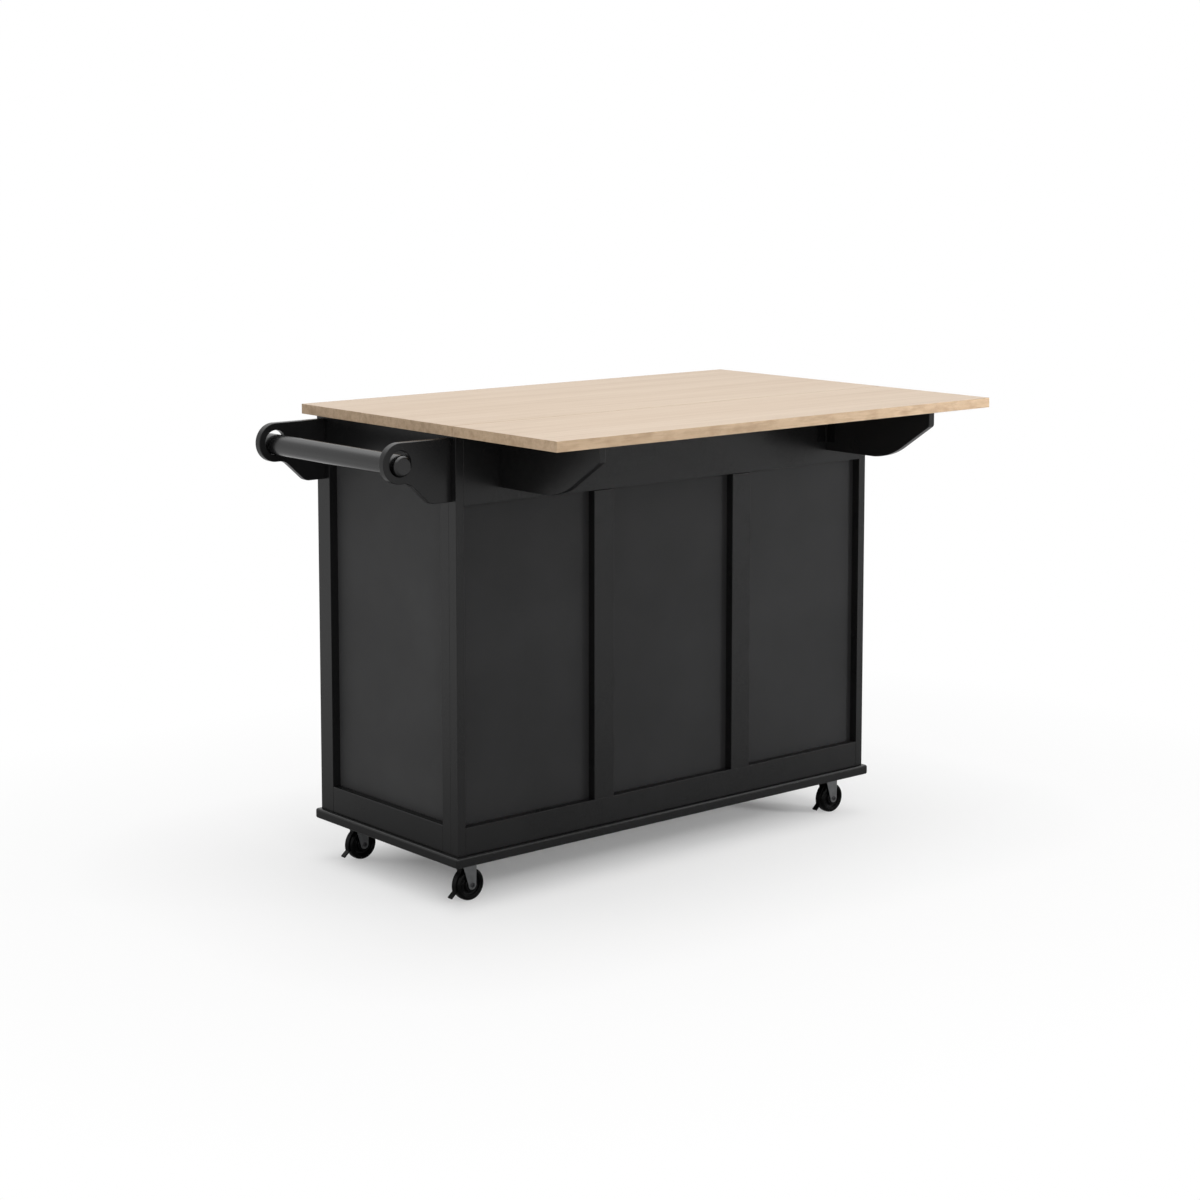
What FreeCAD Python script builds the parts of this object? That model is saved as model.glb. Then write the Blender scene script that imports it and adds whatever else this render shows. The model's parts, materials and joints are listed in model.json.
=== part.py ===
"""Rolling kitchen cart with a lifting leaf, two folding leaf supports and a towel bar.

Millimetres. X runs along the cart, with the towel bar on the +X end. Y runs from the
front, with its doors and drawers, to the back, with the leaf. Z is up. The origin lies
on the floor, under the middle of the cart's outer box.
"""
import FreeCAD, Part

import math
import os
import re

import Sketcher

# Driving sizes. Every other length is worked out from these by expressions.
SIZES = {
    # The body and its boards
    "total_height": 920,
    "body_width": 1080,
    "body_depth": 455,
    "frame_thick": 18,
    "panel_thick": 4.5,
    "side_stile_width": 25.5,
    "front_stile_width": 41.5,
    "side_top_height": 54,
    "side_bottom_height": 52,
    "back_top_height": 133.7,
    "front_top_height": 40,
    "bottom_rail_height": 53,
    "mid_stile_width": 49.5,
    "partition_thick": 15,
    "floor_thick": 15,
    # The worktop, the leaf and the base board
    "top_thick": 19.5,
    "top_side_over": 22,
    "top_front_over": 20,
    "top_back_over": 18,
    "leaf_reach": 322,
    "leaf_gap": 2,
    "base_thick": 20,
    "base_over": 9.5,
    "base_round": 4.5,
    # The leaf supports
    "wing_inset": 103,
    "wing_thick": 15,
    "wing_length": 288,
    "wing_depth": 106.5,
    "wing_flat": 174.5,
    "wing_tip_depth": 31.5,
    "wing_curve": 149,
    "wing_tip_round": 8,
    "wing_play": 0.3,
    # The towel brackets and their bar
    "bracket_reach": 152,
    "bracket_thick": 15,
    "bracket_inset": 14,
    "bracket_depth": 119,
    "bracket_flat": 46,
    "bracket_neck": 94,
    "bracket_head": 38,
    "bracket_heel_curve": 20,
    "bracket_neck_curve": 30,
    "towel_hole_radius": 24,
    "towel_hole_drop": 65,
    "bar_radius": 20,
    "bar_over": 12,
    "bar_round": 3.5,
    "bar_play": 0.3,
    # The doors, drawers and shelves
    "front_play": 2,
    "field_rim": 45,
    "field_depth": 5,
    "field_slope": 45,
    "knob_reach": 26,
    "knob_radius": 15,
    "knob_foot": 7,
    "knob_head_height": 16,
    "box_board": 12,
    "box_floor": 5,
    "box_depth": 380,
    "box_height": 165,
    "box_lift": 18,
    "runner_reach": 13,
    "runner_height": 26,
    "runner_ledge": 3,
    "runner_play": 0.3,
    "shelf_thick": 15,
    "shelf_height": 350,
    "shelf_setback": 30,
    "shelf_play": 1,
    "cleat_width": 15,
    "cleat_height": 20,
    # The hinges
    "knuckle_radius": 3,
    "knuckle_play": 0.3,
    "hinge_lift": 0.3,
    "pin_radius": 1.5,
    "pin_play": 0.05,
    "flap_thick": 1.2,
    "door_flap_thick": 0.8,
    "wing_hinge_length": 70,
    "wing_hinge_reach": 22,
    "leaf_hinge_length": 60,
    "leaf_hinge_reach": 16,
    "leaf_hinge_inset": 50,
    "door_hinge_length": 60,
    "door_hinge_reach": 20,
    "door_hinge_inset": 90,
    # The casters
    "caster_height": 84,
    "caster_inset_x": 54,
    "caster_inset_y": 49,
    "plate_side": 58,
    "plate_thick": 3,
    "cup_radius": 23,
    "cup_top_radius": 20,
    "cup_depth": 7,
    "swivel_play": 0.3,
    "king_radius": 4,
    "king_head_radius": 6,
    "king_head_height": 2.5,
    "king_play": 0.05,
    "crown_thick": 3.5,
    "fork_gap": 24,
    "fork_leg": 2,
    "fork_toe": 9,
    "fork_top": 16,
    "wheel_radius": 31.5,
    "wheel_width": 22,
    "wheel_trail": 6,
    "axle_radius": 4,
    "axle_play": 0.05,
    "brake_width": 12,
    "brake_barrel": 2.6,
    "brake_pin_radius": 1.5,
    "brake_pin_play": 0.05,
    "match_gap": 0.01,
}

# Places of the main planes, as expressions of the driving sizes.
MIDDLE = "((top_side_over - bracket_reach) / 2)"
RIGHT = f"({MIDDLE} + body_width / 2)"
LEFT = f"({MIDDLE} - body_width / 2)"
BACK = "((body_depth + knob_reach - leaf_reach) / 2)"
FRONT = f"({BACK} - body_depth)"
FLOOR = "(caster_height + base_thick)"
UNDER_TOP = "(total_height - top_thick)"
SHELL = "(frame_thick + panel_thick)"
BAY = "((body_width - 2 * frame_thick - 2 * mid_stile_width) / 3)"
BAY_FLOOR = f"({FLOOR} + bottom_rail_height)"
BAY_TOP = f"({UNDER_TOP} - front_top_height)"
HINGE_SEAT = "(knuckle_radius + hinge_lift)"
HOLE_Z = "(total_height - towel_hole_drop)"
DRAWER = f"(({BAY_TOP} - {BAY_FLOOR} - 4 * front_play) / 3)"

# The brake's lever about the wheel's centre: distances as shares of the wheel's radius,
# each with its angle above level. It follows the tread down to a tab that points outwards.
BRAKE_SHARES = ((1.53, -27), (1.55, -23.5), (1.105, -16), (1.105, 50), (1.032, 60), (1.032, -20))
# Where the brake's pin stands, as a share of the fork's half width at its top.
BRAKE_PIN_SHARE = 0.66
# The door knob's height, as a share of the door's height.
DOOR_KNOB_SHARE = 0.5

X_AXIS = FreeCAD.Vector(1, 0, 0)
Y_AXIS = FreeCAD.Vector(0, 1, 0)
Z_AXIS = FreeCAD.Vector(0, 0, 1)


def make_sheet(doc):
    """Keep the driving sizes in a spreadsheet, one named cell each."""
    sheet = doc.addObject("Spreadsheet::Sheet", "Sizes")
    for row, (name, number) in enumerate(SIZES.items(), 1):
        sheet.set(f"A{row}", name)
        sheet.set(f"B{row}", str(number))
        sheet.setAlias(f"B{row}", name)
    doc.recompute()
    return sheet


def named(text):
    """Write the size names of an expression as references to the sheet."""
    return re.sub(r"[a-z_]+", lambda word: f"Sizes.{word[0]}" if word[0] in SIZES else word[0], text)


def value(doc, text):
    """The number that an expression of the sizes has now."""
    result = doc.Sizes.evalExpression(named(text))
    return float(getattr(result, "Value", result))


def bind(item, prop, text):
    item.setExpression(prop, named(text))


def place(item, x="0", y="0", z="0", rotation=None):
    """Put an object at a place that follows the sizes."""
    if rotation is not None:
        item.Placement = FreeCAD.Placement(FreeCAD.Vector(), rotation)
    bind(item, "Placement.Base.x", x)
    bind(item, "Placement.Base.y", y)
    bind(item, "Placement.Base.z", z)
    return item


def board(doc, name, x, y, z):
    """A straight board between two planes along each axis."""
    box = doc.addObject("Part::Box", name)
    for side, (low, high) in zip(("Length", "Width", "Height"), (x, y, z)):
        bind(box, side, f"({high}) - ({low})")
    return place(box, x[0], y[0], z[0])


def rod(doc, name, radius, low, high):
    """A round rod along Z between two heights."""
    cylinder = doc.addObject("Part::Cylinder", name)
    bind(cylinder, "Radius", radius)
    bind(cylinder, "Height", f"({high}) - ({low})")
    return place(cylinder, z=low)


def group(doc, name, items):
    """Several separate pieces that share one name."""
    compound = doc.addObject("Part::Compound", name)
    compound.Label = name
    compound.Links = items
    return compound


def fuse(doc, name, items):
    fusion = doc.addObject("Part::MultiFuse", name)
    fusion.Shapes = items
    return fusion


def cut(doc, name, base, tool):
    cutting = doc.addObject("Part::Cut", name)
    cutting.Base = base
    cutting.Tool = tool
    return cutting


def add_sketch(body, role):
    """An empty sketch on one of the body's own origin planes."""
    sketch = body.newObject("Sketcher::SketchObject", f"{body.Name}_sketch")
    plane = [item for item in body.Origin.OriginFeatures if item.Role == role][0]
    sketch.AttachmentSupport = (plane, [""])
    sketch.MapMode = "FlatFace"
    return sketch


def hold(sketch, kind, line, end, text):
    """Tie one coordinate of a sketch point to the sizes."""
    number = value(sketch.Document, text)
    index = sketch.addConstraint(Sketcher.Constraint(kind, -1, 1, line, end, number))
    sketch.setExpression(f"Constraints[{index}]", named(text))


def draw_outline(sketch, places, arcs=None):
    """Draw a closed outline through the places, with lines and the given arcs.

    An arc is given under the number of the place it starts from, as its centre, whether
    it runs anticlockwise, and which coordinate of its far end is tied.
    """
    arcs = arcs or {}
    doc = sketch.Document
    count = len(places)
    spots = [FreeCAD.Vector(value(doc, x), value(doc, y), 0) for x, y in places]
    ends = []
    for number in range(count):
        start = spots[number]
        end = spots[(number + 1) % count]
        if number not in arcs:
            line = sketch.addGeometry(Part.LineSegment(start, end), False)
            ends.append((line, 1, 2))
            continue
        centre = FreeCAD.Vector(value(doc, arcs[number][0]), value(doc, arcs[number][1]), 0)
        first, last = (start, end) if arcs[number][2] else (end, start)
        circle = Part.Circle(centre, Z_AXIS, (start - centre).Length)
        angles = [math.atan2(spot.y - centre.y, spot.x - centre.x) for spot in (first, last)]
        if angles[1] <= angles[0]:
            angles[1] += 2 * math.pi
        line = sketch.addGeometry(Part.ArcOfCircle(circle, *angles), False)
        ends.append((line, 1, 2) if arcs[number][2] else (line, 2, 1))
    for number in range(count):
        line, _, end = ends[number]
        after, start, _ = ends[(number + 1) % count]
        sketch.addConstraint(Sketcher.Constraint("Coincident", line, end, after, start))
    for number, (x, y) in enumerate(places):
        line, start, _ = ends[number]
        before = arcs.get((number - 1) % count)
        if before is None or before[3] == "x":
            hold(sketch, "DistanceX", line, start, x)
        if before is None or before[3] == "y":
            hold(sketch, "DistanceY", line, start, y)
        if number in arcs:
            hold(sketch, "DistanceX", line, 3, arcs[number][0])
            hold(sketch, "DistanceY", line, 3, arcs[number][1])


def draw_circle(sketch, x, y, radius):
    """Draw a circle whose centre and radius follow the sizes."""
    doc = sketch.Document
    centre = FreeCAD.Vector(value(doc, x), value(doc, y), 0)
    ring = sketch.addGeometry(Part.Circle(centre, Z_AXIS, value(doc, radius)), False)
    hold(sketch, "DistanceX", ring, 3, x)
    hold(sketch, "DistanceY", ring, 3, y)
    index = sketch.addConstraint(Sketcher.Constraint("Radius", ring, value(doc, radius)))
    sketch.setExpression(f"Constraints[{index}]", named(radius))


def padded(doc, name, role, places, depth, arcs=None, hole=None, both_ways=False):
    """A plate: an outline on an origin plane, padded by its thickness."""
    body = doc.addObject("PartDesign::Body", name)
    sketch = add_sketch(body, role)
    draw_outline(sketch, places, arcs)
    if hole:
        draw_circle(sketch, *hole)
    pad = body.newObject("PartDesign::Pad", f"{name}_pad")
    pad.Profile = sketch
    if both_ways:
        pad.SideType = "Symmetric"
    bind(pad, "Length", depth)
    doc.recompute()
    return body


def turned(doc, name, places, arcs=None):
    """A turned piece: a half outline revolved about Z."""
    body = doc.addObject("PartDesign::Body", name)
    sketch = add_sketch(body, "XZ_Plane")
    draw_outline(sketch, places, arcs)
    turn = body.newObject("PartDesign::Revolution", f"{name}_turn")
    turn.Profile = sketch
    turn.ReferenceAxis = (sketch, ["V_Axis"])
    turn.Angle = 360
    doc.recompute()
    return body


def round_all(body, radius):
    """Round every edge of a body."""
    rounding = body.newObject("PartDesign::Fillet", f"{body.Name}_round")
    rounding.Base = (body.Group[-2], [])
    rounding.UseAllEdges = True
    bind(rounding, "Radius", radius)
    body.Document.recompute()
    return body


def round_edges(body, along, spots, radius):
    """Round the straight edges that run along a direction through the given spots."""
    doc = body.Document
    base = body.Tip
    names = []
    for number, edge in enumerate(base.Shape.Edges, 1):
        start = edge.Vertexes[0].Point
        run = edge.Vertexes[-1].Point - start
        if run.Length == 0 or run.cross(along).Length > value(doc, "match_gap"):
            continue
        for x, y in spots:
            across = [spot for axis, spot in zip((X_AXIS, Y_AXIS, Z_AXIS), start) if axis != along]
            gap = abs(across[0] - value(doc, x)) + abs(across[1] - value(doc, y))
            if gap < value(doc, "match_gap"):
                names.append(f"Edge{number}")
    rounding = body.newObject("PartDesign::Fillet", f"{body.Name}_round_{radius}")
    rounding.Base = (base, names)
    bind(rounding, "Radius", radius)
    doc.recompute()
    return body


def rectangle(low, high, bottom, top):
    """The corners of an upright rectangle between two places each way."""
    return [(low, bottom), (high, bottom), (high, top), (low, top)]


def mirrored_boards(doc, name, outer, inner, y, z):
    """The same board on both ends of the cart, between two distances from the end face."""
    right = board(doc, f"{name}_right", (f"{RIGHT} - {inner}", f"{RIGHT} - {outer}"), y, z)
    left = board(doc, f"{name}_left", (f"{LEFT} + {outer}", f"{LEFT} + {inner}"), y, z)
    return group(doc, name, [left, right])


def add_worktop(doc):
    """The wooden worktop, which hangs over the body on every side."""
    x = (f"{LEFT} - top_side_over", f"{RIGHT} + top_side_over")
    y = (f"{FRONT} - top_front_over", f"{BACK} + top_back_over")
    return add_slab(doc, "worktop", x, y, UNDER_TOP, "top_thick")


def add_leaf(doc):
    """The wooden leaf behind the worktop, level with it."""
    x = (f"{LEFT} - top_side_over", f"{RIGHT} + top_side_over")
    y = (f"{BACK} + top_back_over + leaf_gap", f"{BACK} + leaf_reach")
    return add_slab(doc, "leaf", x, y, UNDER_TOP, "top_thick")


def add_base_board(doc):
    """The base board under the whole body, with rounded edges."""
    x = (f"{LEFT} - base_over", f"{RIGHT} + base_over")
    y = (f"{FRONT} - base_over", f"{BACK} + base_over")
    return round_all(add_slab(doc, "base_board", x, y, "caster_height", "base_thick"), "base_round")


def add_slab(doc, name, x, y, low, thick):
    """A board that lies flat between two places each way."""
    slab = padded(doc, name, "XY_Plane", rectangle(x[0], x[1], y[0], y[1]), thick)
    slab.Label = name
    return place(slab, z=low)


def add_side_frames(doc):
    """Both ends: a frame of stiles and rails with a thin panel behind it."""
    upright = (FLOOR, UNDER_TOP)
    back_stile = (f"{BACK} - {SHELL} - side_stile_width", f"{BACK} - {SHELL}")
    front_stile = (FRONT, f"{FRONT} + front_stile_width")
    between = (front_stile[1], back_stile[0])
    panel = (f"{FRONT} + frame_thick + front_play", f"{BACK} - {SHELL}")
    top = (f"{UNDER_TOP} - side_top_height", UNDER_TOP)
    bottom = (FLOOR, f"{FLOOR} + side_bottom_height")
    return [
        mirrored_boards(doc, "side_panels", "frame_thick", SHELL, panel, upright),
        mirrored_boards(doc, "side_back_stiles", "0", "frame_thick", back_stile, upright),
        mirrored_boards(doc, "side_front_stiles", "0", "frame_thick", front_stile, upright),
        mirrored_boards(doc, "side_top_rails", "0", "frame_thick", between, top),
        mirrored_boards(doc, "side_bottom_rails", "0", "frame_thick", between, bottom),
    ]


def add_back_frame(doc):
    """The back: corner stiles, rails and two middle stiles over one thin panel."""
    across = (f"{LEFT} + frame_thick", f"{RIGHT} - frame_thick")
    face = (f"{BACK} - frame_thick", BACK)
    corner = (f"{BACK} - {SHELL}", BACK)
    top_low = f"({UNDER_TOP} - back_top_height)"
    panel = board(doc, "back_panel", across, (corner[0], face[0]), (FLOOR, UNDER_TOP))
    panel.Label = "back_panel"
    top = board(doc, "back_top_rail", across, face, (top_low, UNDER_TOP))
    top.Label = "back_top_rail"
    bottom = board(doc, "back_bottom_rail", across, face, (FLOOR, BAY_FLOOR))
    bottom.Label = "back_bottom_rail"
    corners = mirrored_boards(doc, "back_corner_stiles", "0", "frame_thick", corner, (FLOOR, UNDER_TOP))
    inner = f"(frame_thick + {BAY})"
    middle = (inner, f"({inner} + mid_stile_width)")
    stiles = mirrored_boards(doc, "back_mid_stiles", *middle, face, (BAY_FLOOR, top_low))
    return [panel, top, bottom, corners, stiles]


def add_front_frame(doc):
    """The front: two rails and two middle stiles round the doors and drawers."""
    across = (f"{LEFT} + frame_thick", f"{RIGHT} - frame_thick")
    face = (FRONT, f"{FRONT} + frame_thick")
    top = board(doc, "front_top_rail", across, face, (BAY_TOP, UNDER_TOP))
    top.Label = "front_top_rail"
    bottom = board(doc, "front_bottom_rail", across, face, (FLOOR, BAY_FLOOR))
    bottom.Label = "front_bottom_rail"
    inner = f"(frame_thick + {BAY})"
    middle = (inner, f"({inner} + mid_stile_width)")
    stiles = mirrored_boards(doc, "front_mid_stiles", *middle, face, (BAY_FLOOR, BAY_TOP))
    return [top, bottom, stiles]


# How far each partition's two faces lie from the end face of the cart.
PARTITION_OUTER = f"(frame_thick + {BAY} + (mid_stile_width - partition_thick) / 2)"
PARTITION_INNER = f"({PARTITION_OUTER} + partition_thick)"
INSIDE = (f"{FRONT} + frame_thick", f"{BACK} - {SHELL}")


def add_partitions(doc):
    """Two upright boards that part the body in three bays."""
    z = (FLOOR, UNDER_TOP)
    return mirrored_boards(doc, "partitions", PARTITION_OUTER, PARTITION_INNER, INSIDE, z)


def add_floor_boards(doc):
    """The floor of each bay, level with the bottom rails."""
    z = (f"{BAY_FLOOR} - floor_thick", BAY_FLOOR)
    spans = (
        (f"{LEFT} + {SHELL}", f"{LEFT} + {PARTITION_OUTER}"),
        (f"{LEFT} + {PARTITION_INNER}", f"{RIGHT} - {PARTITION_INNER}"),
        (f"{RIGHT} - {PARTITION_OUTER}", f"{RIGHT} - {SHELL}"),
    )
    floors = [board(doc, f"floor_{number}", x, INSIDE, z) for number, x in enumerate(spans, 1)]
    return group(doc, "floor_boards", floors)


def add_shelves(doc):
    """One loose shelf in each door bay, on its cleats."""
    low = f"{BAY_FLOOR} + shelf_height"
    y = (f"{INSIDE[0]} + shelf_setback", f"{INSIDE[1]} - shelf_play")
    z = (low, f"{low} + shelf_thick")
    outer = f"({SHELL} + shelf_play)"
    inner = f"({PARTITION_OUTER} - shelf_play)"
    return mirrored_boards(doc, "shelves", outer, inner, y, z)


def add_shelf_cleats(doc):
    """A cleat under each end of each shelf, fixed to the side of its bay."""
    level = f"({BAY_FLOOR} + shelf_height)"
    y = (f"{INSIDE[0]} + shelf_setback", INSIDE[1])
    z = (f"{level} - cleat_height", level)
    outer = mirrored_boards(doc, "outer_cleats", SHELL, f"({SHELL} + cleat_width)", y, z)
    inner = mirrored_boards(doc, "inner_cleats", f"({PARTITION_OUTER} - cleat_width)", PARTITION_OUTER, y, z)
    return group(doc, "shelf_cleats", [outer, inner])


def add_bracket(doc, name, back_face):
    """A towel bracket: a round head with a large hole on a curved arm."""
    centre = "(bracket_reach - bracket_head)"
    top = f"({HOLE_Z} + bracket_head)"
    low = f"({top} - bracket_depth)"
    neck = f"({HOLE_Z} - bracket_head)"
    places = [
        ("0", low),
        ("bracket_flat", low),
        ("bracket_neck", neck),
        (centre, neck),
        (centre, top),
        ("0", top),
    ]
    arcs = {3: (centre, HOLE_Z, True, "x")}
    hole = (centre, HOLE_Z, "towel_hole_radius")
    bracket = padded(doc, name, "XZ_Plane", places, "bracket_thick", arcs, hole)
    round_edges(bracket, Y_AXIS, [places[1]], "bracket_heel_curve")
    round_edges(bracket, Y_AXIS, [places[2]], "bracket_neck_curve")
    bracket.Label = name
    return place(bracket, RIGHT, back_face)


def add_towel_bar(doc):
    """A loose round bar that lies in the holes of both brackets."""
    length = "(body_depth - 2 * bracket_inset + 2 * bar_over)"
    places = [
        ("0", "0"),
        ("bar_radius - bar_round", "0"),
        ("bar_radius", "bar_round"),
        ("bar_radius", f"{length} - bar_round"),
        ("bar_radius - bar_round", length),
        ("0", length),
    ]
    bar = turned(doc, "towel_bar", places)
    bar.Label = "towel_bar"
    rotation = FreeCAD.Rotation(X_AXIS, -90)
    x = f"{RIGHT} + bracket_reach - bracket_head"
    z = f"{HOLE_Z} - towel_hole_radius + bar_radius + bar_play"
    return place(bar, x, f"{FRONT} + bracket_inset - bar_over", z, rotation)


def add_wing(doc, side, x):
    """A leaf support: flat under its root, then rising in a curve to its tip."""
    top = f"({UNDER_TOP} - wing_play)"
    low = f"({top} - wing_depth)"
    places = [
        ("0", low),
        ("wing_flat", low),
        ("wing_length", f"{top} - wing_tip_depth"),
        ("wing_length", top),
        ("0", top),
    ]
    wing = padded(doc, f"{side}_wing", "YZ_Plane", places, "wing_thick")
    round_edges(wing, X_AXIS, [places[1]], "wing_curve")
    round_edges(wing, X_AXIS, [places[2]], "wing_tip_round")
    wing.Label = f"{side}_wing"
    return place(wing, x, BACK)


def hinge_half(doc, name, fixed, sizes, spot, reach_way, face_way):
    """Half a butt hinge: a flap with its knuckle, about a pin along its own Z.

    The flap reaches away from the pin along reach_way. Its mounting face looks against
    face_way. Each half has one knuckle at its own low end, and as the two halves' Z point
    opposite ways, the knuckles share the pin, which belongs to the fixed half.
    """
    length, reach, seat, thick = sizes
    end = f"({length} / 2)"
    clear = "(knuckle_radius + knuckle_play)"
    top = "0" if fixed else "(0 - knuckle_play)"
    outline = [(reach, f"0 - {end}"), (reach, end), (clear, end), (clear, top),
               ("0", top), ("0", f"0 - {end}")]
    flap = padded(doc, f"{name}_flap", "XZ_Plane", outline, thick)
    place(flap, y=f"{thick} - {seat}")
    knuckle = rod(doc, f"{name}_knuckle", "knuckle_radius", f"0 - {end}", top)
    if fixed:
        pin = rod(doc, f"{name}_pin", "pin_radius", f"0 - {end}", end)
        half = fuse(doc, name, [flap, knuckle, pin])
    else:
        bore = rod(doc, f"{name}_bore", "pin_radius + pin_play", f"0 - {end}", end)
        half = cut(doc, name, fuse(doc, f"{name}_solid", [flap, knuckle]), bore)
    pin_way = reach_way.cross(face_way)
    rotation = FreeCAD.Rotation(reach_way, face_way, pin_way, "XYZ")
    return place(half, *spot, rotation)


def leaf_hinge_spots():
    """The leaf's three hinges: one near each end and one in the middle."""
    y = f"{BACK} + top_back_over + leaf_gap / 2"
    z = f"{UNDER_TOP} - {HINGE_SEAT}"
    return [(x, y, z) for x in (f"{LEFT} + leaf_hinge_inset", MIDDLE, f"{RIGHT} - leaf_hinge_inset")]


def add_leaf_hinges(doc):
    sizes = ("leaf_hinge_length", "leaf_hinge_reach", HINGE_SEAT, "flap_thick")
    spots = list(enumerate(leaf_hinge_spots(), 1))
    plates = [hinge_half(doc, f"leaf_plate_{number}", True, sizes, spot, -Y_AXIS, -Z_AXIS)
              for number, spot in spots]
    flaps = [hinge_half(doc, f"leaf_flap_{number}", False, sizes, spot, Y_AXIS, -Z_AXIS)
             for number, spot in spots]
    return [group(doc, "leaf_hinge_plates", plates), group(doc, "leaf_hinge_flaps", flaps)]


def add_wing_hinges(doc):
    """One hinge in the corner between each leaf support and the back."""
    sizes = ("wing_hinge_length", "wing_hinge_reach", HINGE_SEAT, "flap_thick")
    inner = f"(wing_inset + wing_thick + {HINGE_SEAT})"
    y = f"{BACK} + {HINGE_SEAT}"
    z = f"{UNDER_TOP} - wing_play - wing_depth / 2"
    left = (f"{LEFT} + {inner}", y, z)
    right = (f"{RIGHT} - {inner}", y, z)
    left_plate = hinge_half(doc, "left_wing_plate", True, sizes, left, X_AXIS, Y_AXIS)
    right_plate = hinge_half(doc, "right_wing_plate", True, sizes, right, -X_AXIS, Y_AXIS)
    left_flap = hinge_half(doc, "left_wing_hinge_flap", False, sizes, left, Y_AXIS, X_AXIS)
    right_flap = hinge_half(doc, "right_wing_hinge_flap", False, sizes, right, Y_AXIS, -X_AXIS)
    return [group(doc, "wing_hinge_plates", [left_plate, right_plate]), left_flap, right_flap]


def add_door_hinges(doc):
    """Two hinges on the outer edge of each door, with their knuckles in front."""
    sizes = ("door_hinge_length", "door_hinge_reach", "(front_play / 2)", "door_flap_thick")
    y = f"{FRONT} - {HINGE_SEAT}"
    levels = (f"{BAY_FLOOR} + door_hinge_inset", f"{BAY_TOP} - door_hinge_inset")
    edge = "(frame_thick + front_play / 2)"
    plates = []
    made = []
    for side, x, way in (("left", f"{LEFT} + {edge}", X_AXIS), ("right", f"{RIGHT} - {edge}", -X_AXIS)):
        flaps = []
        for number, z in enumerate(levels, 1):
            fixed_name = f"{side}_door_plate_{number}"
            moving_name = f"{side}_door_flap_{number}"
            plates.append(hinge_half(doc, fixed_name, True, sizes, (x, y, z), Y_AXIS, way))
            flaps.append(hinge_half(doc, moving_name, False, sizes, (x, y, z), Y_AXIS, -way))
        made.append(group(doc, f"{side}_door_hinges", flaps))
    return made + [group(doc, "door_hinge_plates", plates)]


def add_front_panel(doc, name, x, width, z, height):
    """A door or drawer front with a sunk field that has sloping sides."""
    panel = padded(doc, name, "XZ_Plane", rectangle("0", width, "0", height), "frame_thick")
    sketch = add_sketch(panel, "XZ_Plane")
    bind(sketch, "AttachmentOffset.Base.z", "frame_thick")
    draw_outline(sketch, rectangle("field_rim", f"{width} - field_rim",
                                   "field_rim", f"{height} - field_rim"))
    field = panel.newObject("PartDesign::Pocket", f"{name}_field")
    field.Profile = sketch
    bind(field, "Length", "field_depth")
    bind(field, "TaperAngle", "0 - field_slope")
    doc.recompute()
    panel.Label = name
    return place(panel, x, f"{FRONT} + frame_thick", z)


def add_knob(doc, name, x, y, z):
    """A turned knob that flares from its foot to a round head."""
    places = [
        ("0", "0"),
        ("knob_foot", "0"),
        ("knob_radius", "knob_head_height"),
        ("knob_radius", "knob_reach"),
        ("0", "knob_reach"),
    ]
    knob = turned(doc, name, places)
    knob.Label = name
    return place(knob, x, y, z, FreeCAD.Rotation(X_AXIS, 90))


def add_doors(doc):
    """Two inset doors, hinged on their outer edges, with a knob on the inner ones."""
    width = f"({BAY} - 2 * front_play)"
    height = f"({BAY_TOP} - {BAY_FLOOR} - 2 * front_play)"
    z = f"{BAY_FLOOR} + front_play"
    knob_z = f"{z} + {height} * {DOOR_KNOB_SHARE}"
    left = f"{LEFT} + frame_thick + front_play"
    right = f"{RIGHT} - frame_thick - front_play - {width}"
    return [
        add_front_panel(doc, "left_door", left, width, z, height),
        add_front_panel(doc, "right_door", right, width, z, height),
        add_knob(doc, "left_door_knob", f"{left} + {width} - field_rim / 2", FRONT, knob_z),
        add_knob(doc, "right_door_knob", f"{right} + field_rim / 2", FRONT, knob_z),
    ]


def add_drawer(doc, number):
    """A drawer: a panelled front with its knob, and a box of five boards behind it."""
    name = f"drawer_{number}"
    width = f"({BAY} - 2 * front_play)"
    low = f"({BAY_TOP} - {number} * ({DRAWER} + front_play))"
    left = f"({MIDDLE} - {width} / 2)"
    front = add_front_panel(doc, f"{name}_front", left, width, low, DRAWER)
    knob_y = f"{FRONT} + field_depth"
    knob = add_knob(doc, f"{name}_knob", MIDDLE, knob_y, f"{low} + {DRAWER} / 2")
    half = f"({BAY} / 2 - runner_reach)"
    near = f"({FRONT} + frame_thick)"
    far = f"({near} + box_depth)"
    bottom = f"({low} + box_lift)"
    z = (bottom, f"{bottom} + box_height")
    inner = (f"{MIDDLE} - {half} + box_board", f"{MIDDLE} + {half} - box_board")
    ends_z = (f"{bottom} + box_floor", z[1])
    boards = [
        board(doc, f"{name}_left", (f"{MIDDLE} - {half}", inner[0]), (near, far), z),
        board(doc, f"{name}_right", (inner[1], f"{MIDDLE} + {half}"), (near, far), z),
        board(doc, f"{name}_near", inner, (near, f"{near} + box_board"), ends_z),
        board(doc, f"{name}_far", inner, (f"{far} - box_board", far), ends_z),
        board(doc, f"{name}_floor", inner, (near, far), (bottom, ends_z[0])),
    ]
    return [front, knob, group(doc, f"{name}_box", boards)]


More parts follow.
